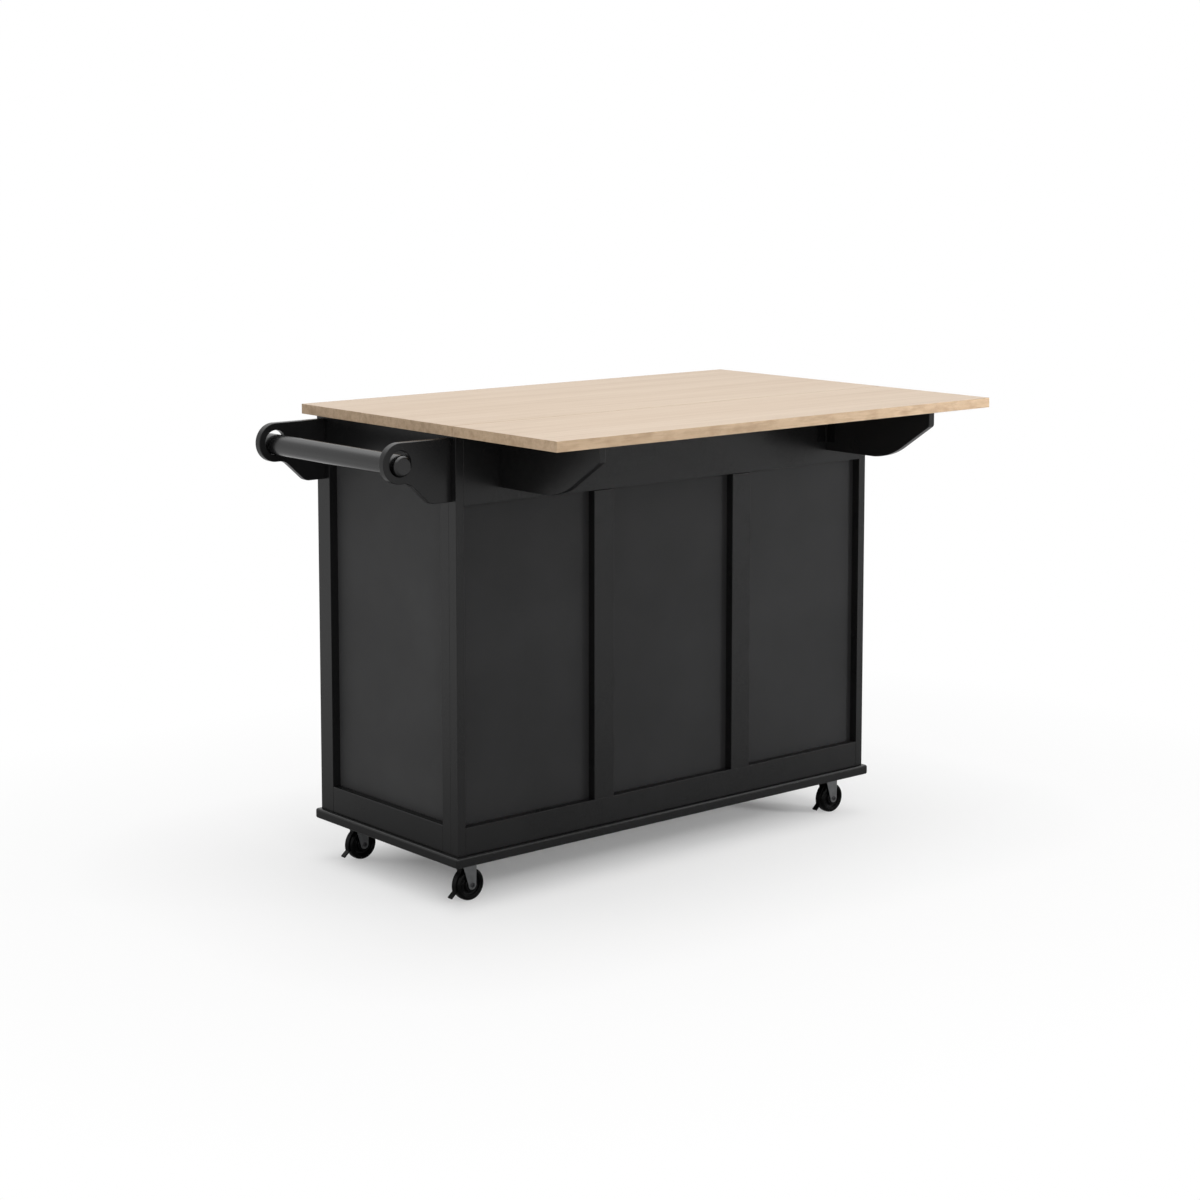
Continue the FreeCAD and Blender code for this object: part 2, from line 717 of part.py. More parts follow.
def add_drawer_runners(doc):
    """Six runners of L section, on which the drawers' side boards slide."""
    wall = "((mid_stile_width - partition_thick) / 2 + runner_reach - runner_play)"
    toe = f"({wall} + runner_play + box_board)"
    runners = []
    for number in (1, 2, 3):
        low = f"({BAY_TOP} - {number} * ({DRAWER} + front_play))"
        z = f"{low} + box_lift - runner_play - runner_ledge"
        for side, way, x in (("left", "", f"{LEFT} + {PARTITION_INNER}"),
                             ("right", "0 - ", f"{RIGHT} - {PARTITION_INNER}")):
            places = [
                ("0", "0"),
                (f"{way}{toe}", "0"),
                (f"{way}{toe}", "runner_ledge"),
                (f"{way}{wall}", "runner_ledge"),
                (f"{way}{wall}", "runner_height"),
                ("0", "runner_height"),
            ]
            depth = f"body_depth - frame_thick - {SHELL}"
            runner = padded(doc, f"{side}_runner_{number}", "XZ_Plane", places, depth)
            runners.append(place(runner, x, INSIDE[1], z))
    return group(doc, "drawer_runners", runners)


PLATE_LOW = "(caster_height - plate_thick)"
CUP_LOW = f"({PLATE_LOW} - cup_depth)"
CROWN_TOP = f"({CUP_LOW} - swivel_play)"
CROWN_LOW = f"({CROWN_TOP} - crown_thick)"
AXLE_X = "(0 - wheel_trail)"
BRAKE_PIN_X = f"(fork_top * {BRAKE_PIN_SHARE})"
BRAKE_PIN_Z = f"({CROWN_LOW} - swivel_play - brake_barrel)"


def caster_plate(doc, name, x, y, turn):
    """A caster's top plate with its bearing cup and the king pin that holds the fork."""
    half = "(plate_side / 2)"
    corners = rectangle(f"0 - {half}", half, f"0 - {half}", half)
    plate = place(padded(doc, f"{name}_plate", "XY_Plane", corners, "plate_thick"), z=PLATE_LOW)
    head_top = f"({CROWN_LOW} - swivel_play)"
    places = [
        ("0", f"{head_top} - king_head_height"),
        ("king_head_radius", f"{head_top} - king_head_height"),
        ("king_head_radius", head_top),
        ("king_radius", head_top),
        ("king_radius", CUP_LOW),
        ("cup_radius", CUP_LOW),
        ("cup_top_radius", PLATE_LOW),
        ("0", PLATE_LOW),
    ]
    cup = turned(doc, f"{name}_cup", places)
    return place(fuse(doc, name, [plate, cup]), x, y, rotation=FreeCAD.Rotation(Z_AXIS, turn))


def caster_fork(doc, name, x, y, turn):
    """The fork: a bent plate with two tapering legs, with the axle and the brake's pin."""
    width = "(fork_gap + 2 * fork_leg)"
    places = [
        ("0 - fork_top", CROWN_TOP),
        (f"{AXLE_X} - fork_toe", "wheel_radius"),
        (f"{AXLE_X} + fork_toe", "wheel_radius"),
        ("fork_top", CROWN_TOP),
    ]
    arcs = {1: (AXLE_X, "wheel_radius", True, "y")}
    legs = padded(doc, f"{name}_legs", "XZ_Plane", places, width, arcs, both_ways=True)
    reach = "(2 * wheel_radius + wheel_trail)"
    channel = board(doc, f"{name}_channel", (f"0 - {reach}", reach),
                    ("0 - fork_gap / 2", "fork_gap / 2"), ("0", CROWN_LOW))
    bore = rod(doc, f"{name}_bore", "king_radius + king_play", "0", "caster_height")
    open_fork = cut(doc, f"{name}_open", legs, fuse(doc, f"{name}_tools", [channel, bore]))
    across = FreeCAD.Rotation(X_AXIS, 90)
    axle = rod(doc, f"{name}_axle", "axle_radius", "0", width)
    place(axle, AXLE_X, f"{width} / 2", "wheel_radius", across)
    pin = rod(doc, f"{name}_pin", "brake_pin_radius", "0", width)
    place(pin, BRAKE_PIN_X, f"{width} / 2", BRAKE_PIN_Z, across)
    fork = fuse(doc, name, [open_fork, axle, pin])
    fork.Label = name
    return place(fork, x, y, rotation=FreeCAD.Rotation(Z_AXIS, turn))


def caster_wheel(doc, name, x, y, turn):
    """A plain wheel with a hole for its axle."""
    half = "(wheel_width / 2)"
    round_block = rod(doc, f"{name}_round", "wheel_radius", f"0 - {half}", half)
    bore = rod(doc, f"{name}_bore", "axle_radius + axle_play", f"0 - {half}", half)
    wheel = cut(doc, f"{name}_bored", round_block, bore)
    place(wheel, AXLE_X, "0", "wheel_radius", FreeCAD.Rotation(X_AXIS, 90))
    return place(group(doc, name, [wheel]), x, y, rotation=FreeCAD.Rotation(Z_AXIS, turn))


def caster_brake(doc, name, x, y, turn):
    """A brake lever that hangs on its pin before the tread, with a foot tab at its end."""
    centre = (AXLE_X, "wheel_radius")
    spots = []
    for share, degrees in BRAKE_SHARES:
        across = share * math.cos(math.radians(degrees))
        up = share * math.sin(math.radians(degrees))
        spots.append((f"{AXLE_X} + ({across:.5f}) * wheel_radius",
                      f"wheel_radius + ({up:.5f}) * wheel_radius"))
    neck = [(f"{BRAKE_PIN_X} + brake_barrel / 2", BRAKE_PIN_Z),
            (f"{BRAKE_PIN_X} - brake_barrel / 2", BRAKE_PIN_Z)]
    arcs = {2: (*centre, True, "y"), 6: (*centre, False, "y")}
    lever = padded(doc, f"{name}_lever", "XZ_Plane", spots[:4] + neck + spots[4:],
                   "brake_width", arcs, both_ways=True)
    spot = (BRAKE_PIN_X, "brake_width / 2", BRAKE_PIN_Z, FreeCAD.Rotation(X_AXIS, 90))
    barrel = place(rod(doc, f"{name}_barrel", "brake_barrel", "0", "brake_width"), *spot)
    bore = rod(doc, f"{name}_bore", "brake_pin_radius + brake_pin_play", "0", "brake_width")
    place(bore, *spot)
    brake = cut(doc, name, fuse(doc, f"{name}_solid", [lever, barrel]), bore)
    brake.Label = name
    return place(brake, x, y, rotation=FreeCAD.Rotation(Z_AXIS, turn))


def add_casters(doc):
    """Four swivel casters under the base board, each with its own brake."""
    corners = (
        ("front_left", f"{LEFT} + caster_inset_x", f"{FRONT} + caster_inset_y", 0),
        ("front_right", f"{RIGHT} - caster_inset_x", f"{FRONT} + caster_inset_y", 0),
        ("back_left", f"{LEFT} + caster_inset_x", f"{BACK} - caster_inset_y", 0),
        ("back_right", f"{RIGHT} - caster_inset_x", f"{BACK} - caster_inset_y", 0),
    )
    plates = []
    made = []
    for name, x, y, turn in corners:
        plates.append(caster_plate(doc, f"{name}_mount", x, y, turn))
        made.append(caster_fork(doc, f"{name}_fork", x, y, turn))
        made.append(caster_wheel(doc, f"{name}_wheel", x, y, turn))
        made.append(caster_brake(doc, f"{name}_brake", x, y, turn))
    return made + [group(doc, "caster_plates", plates)]


def build(doc):
    """Make every sub-part and return them in a list."""
    make_sheet(doc)
    parts = [add_worktop(doc), add_leaf(doc), add_base_board(doc)]
    parts += add_side_frames(doc)
    parts += add_back_frame(doc)
    parts += add_front_frame(doc)
    parts += [add_partitions(doc), add_floor_boards(doc), add_shelves(doc), add_shelf_cleats(doc)]
    parts.append(add_bracket(doc, "back_towel_bracket", f"{BACK} - bracket_inset"))
    front_face = f"{FRONT} + bracket_inset + bracket_thick"
    parts.append(add_bracket(doc, "front_towel_bracket", front_face))
    parts.append(add_towel_bar(doc))
    parts.append(add_wing(doc, "left", f"{LEFT} + wing_inset"))
    parts.append(add_wing(doc, "right", f"{RIGHT} - wing_inset - wing_thick"))
    parts += add_leaf_hinges(doc)
    parts += add_wing_hinges(doc)
    parts += add_doors(doc)
    parts += add_door_hinges(doc)
    for number in (1, 2, 3):
        parts += add_drawer(doc, number)
    parts.append(add_drawer_runners(doc))
    parts += add_casters(doc)
    doc.recompute()
    return parts


def check(doc, parts):
    """Stop before anything is written if an object failed or a shape isn't sound."""
    for item in doc.Objects:
        if "Invalid" in item.State or "Error" in item.State:
            raise RuntimeError(f"{item.Name} failed: {item.State}")
    for item in parts:
        if item.Shape.isNull() or not item.Shape.isValid() or not item.Shape.Solids:
            raise RuntimeError(f"{item.Label} has no sound shape")


def main():
    doc = FreeCAD.newDocument("kitchen_cart")
    parts = build(doc)
    check(doc, parts)
    os.makedirs("parts", exist_ok=True)
    for item in parts:
        item.Shape.exportStep(f"parts/{item.Label}.step")
    solids = sum(len(item.Shape.Solids) for item in parts)
    print(f"{len(parts)} sub-parts, {solids} solids")


main()
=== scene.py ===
# %% [markdown]
# # A rolling kitchen cart
# The cart is a black painted cupboard with a pale wooden top. A leaf at the back makes the
# top wider, and two folding supports hold it up. The solid model already has every board,
# hinge and wheel at its real size. This script gives them their eased edges and finishes.

# %% Load the frame
import json
import math

import bmesh
import bpy
import numpy as np
from mathutils import Matrix, Vector


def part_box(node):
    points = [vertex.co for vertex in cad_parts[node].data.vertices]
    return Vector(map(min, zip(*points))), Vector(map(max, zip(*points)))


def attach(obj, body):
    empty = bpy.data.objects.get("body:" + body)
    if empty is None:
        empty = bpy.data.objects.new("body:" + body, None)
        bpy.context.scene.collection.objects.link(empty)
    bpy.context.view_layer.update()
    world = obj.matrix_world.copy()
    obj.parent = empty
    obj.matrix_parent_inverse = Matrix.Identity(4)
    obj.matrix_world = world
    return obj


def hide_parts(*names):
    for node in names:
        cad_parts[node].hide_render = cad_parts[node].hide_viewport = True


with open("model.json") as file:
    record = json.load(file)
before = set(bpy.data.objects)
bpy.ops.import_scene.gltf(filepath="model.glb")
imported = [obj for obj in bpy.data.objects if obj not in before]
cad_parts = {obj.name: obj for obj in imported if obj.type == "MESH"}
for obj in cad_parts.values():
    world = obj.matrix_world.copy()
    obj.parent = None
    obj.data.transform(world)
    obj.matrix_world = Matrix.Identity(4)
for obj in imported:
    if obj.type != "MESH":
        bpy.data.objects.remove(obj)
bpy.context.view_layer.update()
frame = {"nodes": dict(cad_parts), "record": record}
nodes = frame["nodes"]
nodes_of_body = frame["record"]["behaviour"]["bodies"]
body_of_node = {node: body for body, names in nodes_of_body.items() for node in names}

# %% [markdown]
# ## The view
# A product photograph is often taken from far away with a long lens that is shifted down,
# because then the cart's upright edges stay upright in the picture. The camera's place and
# lens were found by fitting known corners of the cart to the photograph. A lens that is
# shifted less, on a camera that looks down a little, gives almost the same picture, and it
# keeps the cart in the frame when the camera moves round it.

# %% The camera
look_down = math.radians(6.543)
look_round = math.radians(139.893)
camera = bpy.data.objects.new("camera", bpy.data.cameras.new("camera"))
bpy.context.collection.objects.link(camera)
camera.data.lens = 75.292
camera.data.sensor_width = 36.0
camera.data.shift_y = -0.15
camera.location = (3.2151, 3.7443, 1.4517)
camera.rotation_euler = (math.radians(90) - look_down, 0, look_round)
bpy.context.scene.camera = camera
print("camera", round(camera.location.length, 2), "m from the middle of the floor")

# %% [markdown]
# ## Writing shader maths as sums
# A finish is a small sum over noise and position. Wrapping each socket in a class lets the
# script write that sum with plus and times signs, and the class adds the Math nodes.

# %% A socket that can be added and multiplied
class Wire:
    """A socket of a material's node tree that Python can do sums with."""

    def __init__(self, tree, socket):
        self.tree = tree
        self.socket = socket

    def math(self, operation, *others):
        return add_node(self.tree, "ShaderNodeMath", {"operation": operation}, (self, *others))

    def __add__(self, other):
        return self.math("ADD", other)

    def __sub__(self, other):
        return self.math("SUBTRACT", other)

    def __rsub__(self, other):
        return (self * -1) + other

    def __mul__(self, other):
        return self.math("MULTIPLY", other)

    __radd__ = __add__
    __rmul__ = __mul__

    def clamp(self):
        return add_node(self.tree, "ShaderNodeClamp", {}, {"Value": self})

    def ramp(self, low, high):
        """0 below low, 1 above high, and straight between them."""
        return ((self - low) * (1 / (high - low))).clamp()


def add_node(tree, kind, settings, inputs, output=0):
    """Add a node: its settings first, then the values or links of its sockets."""
    node = tree.nodes.new(kind)
    for name, setting in settings.items():
        setattr(node, name, setting)
    pairs = inputs.items() if isinstance(inputs, dict) else enumerate(inputs)
    for name, given in pairs:
        if isinstance(given, Wire):
            tree.links.new(given.socket, node.inputs[name])
        else:
            node.inputs[name].default_value = given
    return Wire(tree, node.outputs[output])


# %% [markdown]
# ## Where patterns lie
# Grain and specks have real sizes, so they are placed in metres, in the space of the piece
# itself. They then stay in place when a door swings or the view moves.

# %% Noise in real sizes
def new_finish(name):
    """An empty material with its tree and its main shader."""
    finish = bpy.data.materials.new(name)
    finish.use_nodes = True
    tree = finish.node_tree
    return finish, tree, tree.nodes["Principled BSDF"]


def coordinates(tree, scale):
    """Object coordinates stretched by a scale along each axis."""
    spot = add_node(tree, "ShaderNodeTexCoord", {}, {}, "Object")
    settings = {"vector_type": "POINT"}
    return add_node(tree, "ShaderNodeMapping", settings, {"Vector": spot, "Scale": scale})


def noise(tree, scale, detail=4.0, rough=0.55, distortion=0.0):
    """Noise whose features lie 1 / scale metres apart along each axis, from 0 to 1."""
    inputs = {"Vector": coordinates(tree, scale), "Scale": 1.0, "Detail": detail,
              "Roughness": rough, "Distortion": distortion}
    return add_node(tree, "ShaderNodeTexNoise", {}, inputs, "Fac")


def blend(tree, factor, first, second):
    """A colour between two colours."""
    node = tree.nodes.new("ShaderNodeMix")
    node.data_type = "RGBA"
    for index, given in ((0, factor), (6, first), (7, second)):
        if isinstance(given, Wire):
            tree.links.new(given.socket, node.inputs[index])
        else:
            node.inputs[index].default_value = given
    return Wire(tree, node.outputs[2])


def connect(tree, shader, **sockets):
    """Give a shader's sockets their values or links. An underline stands for a space."""
    for name, given in sockets.items():
        socket = shader.inputs[name.replace("_", " ")]
        if isinstance(given, Wire):
            tree.links.new(given.socket, socket)
        else:
            socket.default_value = given


def bump(tree, height, strength, depth):
    """A normal that is tilted by a relief of a depth in metres."""
    inputs = {"Height": height, "Strength": strength, "Distance": depth}
    return add_node(tree, "ShaderNodeBump", {}, inputs, "Normal")


# %% [markdown]
# ## Pale wood
# The top is a pale, straight grained wood under a dull clear coat. Its grain is long
# streaks along the board, some faint and wide, some dark and as thin as a hair. Noise that
# is stretched along the board gives such streaks. The edges are banded with a darker cut of
# the same wood, whose grain is short and mottled.

# %% The finishes of the top
def make_wood(name, light, middle, dark, along, mottle):
    """A wood of three colours. Its grain has along streaks to a metre, and mottle spots it."""
    finish, tree, shader = new_finish(name)
    wide = noise(tree, (along, 20, 30), detail=3, distortion=0.4)
    fine = noise(tree, (along * 4, 230, 230), detail=3)
    hair = noise(tree, (along * 7, 800, 800), detail=2)
    pore = noise(tree, (along * 30, 1400, 1400), detail=1)
    cloud = noise(tree, (1.6, 4, 4), detail=2)
    spots = noise(tree, (26, 60, 60), detail=4)
    body = blend(tree, wide.ramp(0.36, 0.66), light, middle)
    body = blend(tree, fine.ramp(0.50, 0.80) * 0.50, body, dark)
    body = blend(tree, hair.ramp(0.58, 0.75) * 0.32, body, dark)
    body = blend(tree, pore.ramp(0.62, 0.72) * 0.22, body, dark)
    body = blend(tree, spots.ramp(0.45, 0.70) * mottle, body, dark)
    body = blend(tree, cloud.ramp(0.45, 0.75) * 0.18, body, light)
    relief = bump(tree, fine * 0.5 + hair * 0.3 + pore * 0.2, 0.22, 0.0004)
    connect(tree, shader, Base_Color=body, Roughness=fine * 0.12 + 0.44,
            Specular_IOR_Level=0.20, Normal=relief)
    return finish


top_wood = make_wood("pale_wood", (0.63, 0.507, 0.392, 1), (0.585, 0.458, 0.345, 1),
                     (0.43, 0.312, 0.21, 1), 0.9, 0.0)
edge_wood = make_wood("pale_wood_edge", (0.60, 0.445, 0.30, 1), (0.52, 0.375, 0.245, 1),
                      (0.33, 0.215, 0.13, 1), 5.0, 0.55)
print("wood finishes", top_wood.name, edge_wood.name)

# %% [markdown]
# ## Black paint
# The body is sprayed with satin black paint. Black paint scatters almost no light, so what
# the eye sees on it is the room's reflection, which fades into the corners between boards.
# So the colour is very dark and the shader's gloss does the work. A faint orange peel and a
# little unevenness in the gloss keep it from looking like plastic film. The recessed panels
# are duller than the boards round them, and so get a paler colour and less gloss. The side
# panels are paler again than the back ones: that extra paleness is painted light for the
# brighter end of the cart.

# %% The finishes of the body
def make_paint(name, colour, rough, gloss, peel=0.06):
    """A sprayed paint, with clouds in its colour and gloss and a little orange peel."""
    finish, tree, shader = new_finish(name)
    cloud = noise(tree, (5, 5, 5), detail=3)
    skin = noise(tree, (420, 420, 420), detail=2)
    speck = noise(tree, (1500, 1500, 1500), detail=1)
    light = tuple(min(1, part * 1.5) for part in colour[:3]) + (1,)
    body = blend(tree, cloud.ramp(0.35, 0.7) * 0.5, colour, light)
    relief = bump(tree, skin * 0.8 + speck * 0.2, peel, 0.0003)
    connect(tree, shader, Base_Color=body, Roughness=cloud * 0.08 + speck * 0.04 + rough,
            Specular_IOR_Level=gloss, Normal=relief)
    return finish


black_paint = make_paint("satin_black_paint", (0.0072, 0.0072, 0.0074, 1), 0.22, 0.235)
back_panel_paint = make_paint("dull_black_back_panel", (0.0175, 0.0175, 0.0179, 1), 0.52, 0.15)
# The side panels' paint is paler than the back panels': painted light for the brighter end.
side_panel_painted_light = make_paint("dull_black_side_panel_painted_light", (0.042, 0.042, 0.0425, 1), 0.52, 0.13)
bar_paint = make_paint("satin_black_bar", (0.0034, 0.0034, 0.0036, 1), 0.16, 0.42)
inner_paint = make_paint("inner_black_paint", (0.006, 0.006, 0.0064, 1), 0.38, 0.40)
hinge_black = make_paint("black_hinge_metal", (0.004, 0.004, 0.0042, 1), 0.45, 0.08, 0.04)
paints = (black_paint, back_panel_paint, side_panel_painted_light, bar_paint, inner_paint, hinge_black)
print("paints", [paint.name for paint in paints])

# %% [markdown]
# ## Metal, rubber and hard plastic
# The forks are pressed steel with bright zinc on them, which is clouded rather than
# mirror-like. The wheels are a black tread on a dark grey hub.

# %% The finishes of the casters and knobs
def make_metal(name, colour, rough, scratch):
    """A metal with clouded brightness and fine scratches."""
    finish, tree, shader = new_finish(name)
    cloud = noise(tree, (90, 90, 90), detail=3)
    fine = noise(tree, scratch, detail=2)
    dark = tuple(part * 0.82 for part in colour[:3]) + (1,)
    body = blend(tree, cloud.ramp(0.35, 0.65), dark, colour)
    relief = bump(tree, fine, 0.08, 0.0002)
    connect(tree, shader, Base_Color=body, Metallic=1.0,
            Roughness=cloud * 0.14 + fine * 0.08 + rough, Normal=relief)
    return finish


zinc = make_metal("clouded_zinc", (0.27, 0.275, 0.28, 1), 0.30, (700, 700, 700))
# The axle nuts' steel is darker than the zinc: painted shade for the shadow round each axle.
axle_painted_shade_steel = make_metal("axle_steel_with_painted_shade", (0.12, 0.12, 0.125, 1), 0.30, (900, 900, 900))
knob_steel = make_metal("brushed_knob_steel", (0.60, 0.59, 0.57, 1), 0.24, (1200, 1200, 60))


def make_moulded(name, colour, rough, gloss, grain, depth):
    """A moulded rubber or plastic with a fine grained skin."""
    finish, tree, shader = new_finish(name)
    skin = noise(tree, (grain, grain, grain), detail=2)
    cloud = noise(tree, (60, 60, 60), detail=2)
    light = tuple(part * 1.6 for part in colour[:3]) + (1,)
    body = blend(tree, cloud.ramp(0.4, 0.7) * 0.4, colour, light)
    connect(tree, shader, Base_Color=body, Roughness=skin * 0.12 + rough,
            Specular_IOR_Level=gloss, Normal=bump(tree, skin, 0.2, depth))
    return finish


soot_black = (0.0022, 0.0022, 0.0022, 1)
hub_grey = (0.003, 0.003, 0.0032, 1)
tread = make_moulded("black_tread", soot_black, 0.20, 0.10, 900, 0.0002)
hub_plastic = make_moulded("dark_hub_plastic", hub_grey, 0.16, 0.12, 600, 0.0001)
brake_plastic = make_moulded("black_brake_tab", soot_black, 0.30, 0.08, 500, 0.0002)
print("metals and plastics", zinc.name, axle_painted_shade_steel.name, knob_steel.name, tread.name,
      hub_plastic.name, brake_plastic.name)

# %% [markdown]
# ## Eased edges
# No real board has a knife edge: sanding and paint round it by about a millimetre, and that
# narrow round catches the light and draws the outline of every board. Each solid is copied,
# its loose triangles are merged, and a Bevel modifier rounds the sharp edges. A Weighted
# Normal modifier then keeps the large faces flat, or their shading would bend like a pillow.

# %% Copy a solid and ease its edges
def finished(name, mesh, body, replaced=(), smooth=35):
    """Put a finished mesh in the scene, on its body, in place of its solids."""
    if smooth:
        for polygon in mesh.polygons:
            polygon.use_smooth = True
        mesh.set_sharp_from_angle(angle=math.radians(smooth))
    piece = bpy.data.objects.new(name, mesh)
    bpy.context.collection.objects.link(piece)
    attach(piece, body)
    if replaced:
        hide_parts(*replaced)
    return piece


# A Weighted Normal modifier's settings, which keep large faces flat, and the least turn
# between two faces that makes an edge for the Bevel modifier. A point this near to a solid's
# highest one is on its top.
flat_normals = {"mode": "FACE_AREA", "weight": 100}
sharp_edge = math.radians(32)
near_top = 0.001


def applied(mesh, *modifiers):
    """The mesh after some modifiers, each given as its kind and its settings."""
    carrier = bpy.data.objects.new("carrier", mesh)
    bpy.context.collection.objects.link(carrier)
    for kind, settings in modifiers:
        modifier = carrier.modifiers.new(kind, kind)
        for key, setting in settings.items():
            setattr(modifier, key, setting)
    graph = bpy.context.evaluated_depsgraph_get()
    result = bpy.data.meshes.new_from_object(carrier.evaluated_get(graph))
    bpy.data.objects.remove(carrier)
    return result


def merged(node, nearest=2e-6, flattest=math.radians(0.4)):
    """A copy of a solid's mesh with its loose triangles joined into plain faces."""
    mesh = nodes[node].data.copy()
    tool = bmesh.new()
    tool.from_mesh(mesh)
    bmesh.ops.remove_doubles(tool, verts=tool.verts, dist=nearest)
    bmesh.ops.dissolve_limit(tool, angle_limit=flattest, verts=tool.verts, edges=tool.edges)
    tool.to_mesh(mesh)
    tool.free()
    return mesh


def ease(node, finish, width=0.001, segments=3, gap=0.0):
    """Replace a solid by a copy with eased edges and a finish.

    A gap lowers the solid's top by that much, which opens the joint over it."""
    bevel = {"width": width, "segments": segments, "limit_method": "ANGLE",
             "angle_limit": sharp_edge, "use_clamp_overlap": True}
    solid = merged(node)
    top = max(vertex.co.z for vertex in solid.vertices)
    for vertex in solid.vertices:
        if vertex.co.z > top - near_top:
            vertex.co.z -= gap
    for polygon in solid.polygons:
        polygon.use_smooth = True
    mesh = applied(solid, ("BEVEL", bevel), ("WEIGHTED_NORMAL", flat_normals))
    mesh.materials.clear()
    mesh.materials.append(finish)
    return finished(f"{node}_eased", mesh, body_of_node[node], [node], smooth=None)


# %% [markdown]
# ## The painted boards
# Every black board gets the same treatment. The edges that touch a neighbour stay a fine
# groove, just as the joints of a painted frame show as hairlines. The joint over the middle
# stiles of the back is open by a hair more, and shows as a thin dark line.

# %% Ease the black boards
painted = [
    "base_board", "side_panels", "side_back_stiles", "side_front_stiles", "side_top_rails",
    "side_bottom_rails", "back_panel", "back_corner_stiles", "back_mid_stiles", "back_top_rail",
    "back_bottom_rail", "front_top_rail", "front_bottom_rail", "front_mid_stiles",
    "left_door", "right_door", "drawer_1_front", "drawer_2_front", "drawer_3_front",
    "left_wing", "right_wing", "back_towel_bracket", "front_towel_bracket",
]
board_edge, low_board_edge, plate_edge, inner_edge = 0.0006, 0.0012, 0.0015, 0.0005
edges = {"base_board": low_board_edge, "side_bottom_rails": low_board_edge,
         "back_bottom_rail": low_board_edge, "left_wing": plate_edge, "right_wing": plate_edge,
         "back_towel_bracket": plate_edge, "front_towel_bracket": plate_edge}
# The side panels' paint is paler than the back's, which is painted light for the lit end.
panel_paints = {"back_panel": back_panel_paint, "side_panels": side_panel_painted_light}
gaps = {"back_mid_stiles": 0.0008}
for node in painted:
    ease(node, panel_paints.get(node, black_paint), edges.get(node, board_edge), gap=gaps.get(node, 0.0))
inside = ["partitions", "floor_boards", "shelves", "shelf_cleats", "drawer_runners",
          "drawer_1_box", "drawer_2_box", "drawer_3_box"]
for node in inside:
    ease(node, inner_paint, inner_edge, 2)
print("painted boards", len(painted) + len(inside))

# %% [markdown]
# ## The towel bar
# The bar is a plain round rod whose ends are cut to a small flat by a wide, soft slope. It
# is made anew from its length and radius, so that the slope runs smoothly round the end.

# %% Turn the towel bar
def add_towel_bar(slope=0.0062, sides=72, square_edge=math.radians(60)):
    """Turn a rod between the ends of the solid bar, with a slope of a width at each end."""
    low, high = (np.array(end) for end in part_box("towel_bar"))
    radius, length = (high[0] - low[0]) / 2, high[1] - low[1]
    tool = bmesh.new()
    bmesh.ops.create_cone(tool, cap_ends=True, segments=sides, radius1=radius, radius2=radius,
                          depth=length)
    spot = Matrix.Translation((low + high) / 2) @ Matrix.Rotation(math.radians(90), 4, "X")
    bmesh.ops.transform(tool, matrix=spot, verts=tool.verts)
    mesh = bpy.data.meshes.new("bar")
    tool.to_mesh(mesh)
    tool.free()
    bevel = {"width": slope, "segments": 3, "profile": 0.4, "limit_method": "ANGLE",
             "angle_limit": square_edge}
    for polygon in mesh.polygons:
        polygon.use_smooth = True
    mesh = applied(mesh, ("BEVEL", bevel), ("WEIGHTED_NORMAL", flat_normals))
    mesh.materials.append(bar_paint)
    finished("towel_bar_turned", mesh, "towel_bar", ["towel_bar"], smooth=None)
    print("towel bar radius", round(radius, 4), "length", round(length, 4))


add_towel_bar()

# %% [markdown]
# ## The wooden top and leaf
# The faces and the edges of the top show different cuts of the wood, and the edges are
# darker. Level faces are told from upright ones by their normals.

# %% Finish the top and the leaf
wood_edge, level = 0.0004, 0.8
for node in ("worktop", "leaf"):
    piece = ease(node, top_wood, wood_edge, 2)
    piece.data.materials.append(edge_wood)
    for polygon in piece.data.polygons:
        polygon.material_index = 0 if abs(polygon.normal.z) > level else 1
    print(node, "faces", len(piece.data.polygons))

# %% [markdown]
# ## Hinges and knobs
# The hinges are small metal plates, whose edges are eased by a fifth of a millimetre. The
# knobs are solid metal and get a full round.

# %% Finish the small metal pieces
hinges = ["door_hinge_plates", "leaf_hinge_plates", "wing_hinge_plates", "leaf_hinge_flaps",
          "left_wing_hinge_flap", "right_wing_hinge_flap", "left_door_hinges", "right_door_hinges"]
hinge_edge, knob_edge = 0.0002, 0.0034
for node in hinges:
    ease(node, hinge_black, hinge_edge, 1)
knobs = ["left_door_knob", "right_door_knob", "drawer_1_knob", "drawer_2_knob", "drawer_3_knob"]
for node in knobs:
    ease(node, knob_steel, knob_edge, 5)
print("hinges", len(hinges), "knobs", len(knobs))

# %% [markdown]
# ## The casters
# A caster's wheel is a soft black tread, moulded round a harder hub with a shallow groove
# on both faces. Such a round piece is turned: the outline of its section is swept about the
# axle. It stays inside the plain wheel of the solid model, which it stands for.

# %% Turn a wheel
def turned_ring(outline, centre, steps=72):
    """Sweep a closed outline of (radius, width, finish) points about an axle along Y."""
    tool = bmesh.new()
    rings = []
    for step in range(steps):
        angle = 2 * math.pi * step / steps
        across, up = math.cos(angle), math.sin(angle)
        places = [(centre[0] + radius * across, centre[1] + width, centre[2] + radius * up)
                  for radius, width, _ in outline]
        rings.append([tool.verts.new(place) for place in places])
    count = len(outline)
    for step in range(steps):
        here, there = rings[step], rings[(step + 1) % steps]
        for number in range(count):
            after = (number + 1) % count
            face = tool.faces.new((here[number], there[number], there[after], here[after]))
            face.material_index = outline[number][2]
    bmesh.ops.recalc_face_normals(tool, faces=tool.faces)
    mesh = bpy.data.meshes.new("turned")
    tool.to_mesh(mesh)
    tool.free()
    return mesh


axle_bore = 0.00405


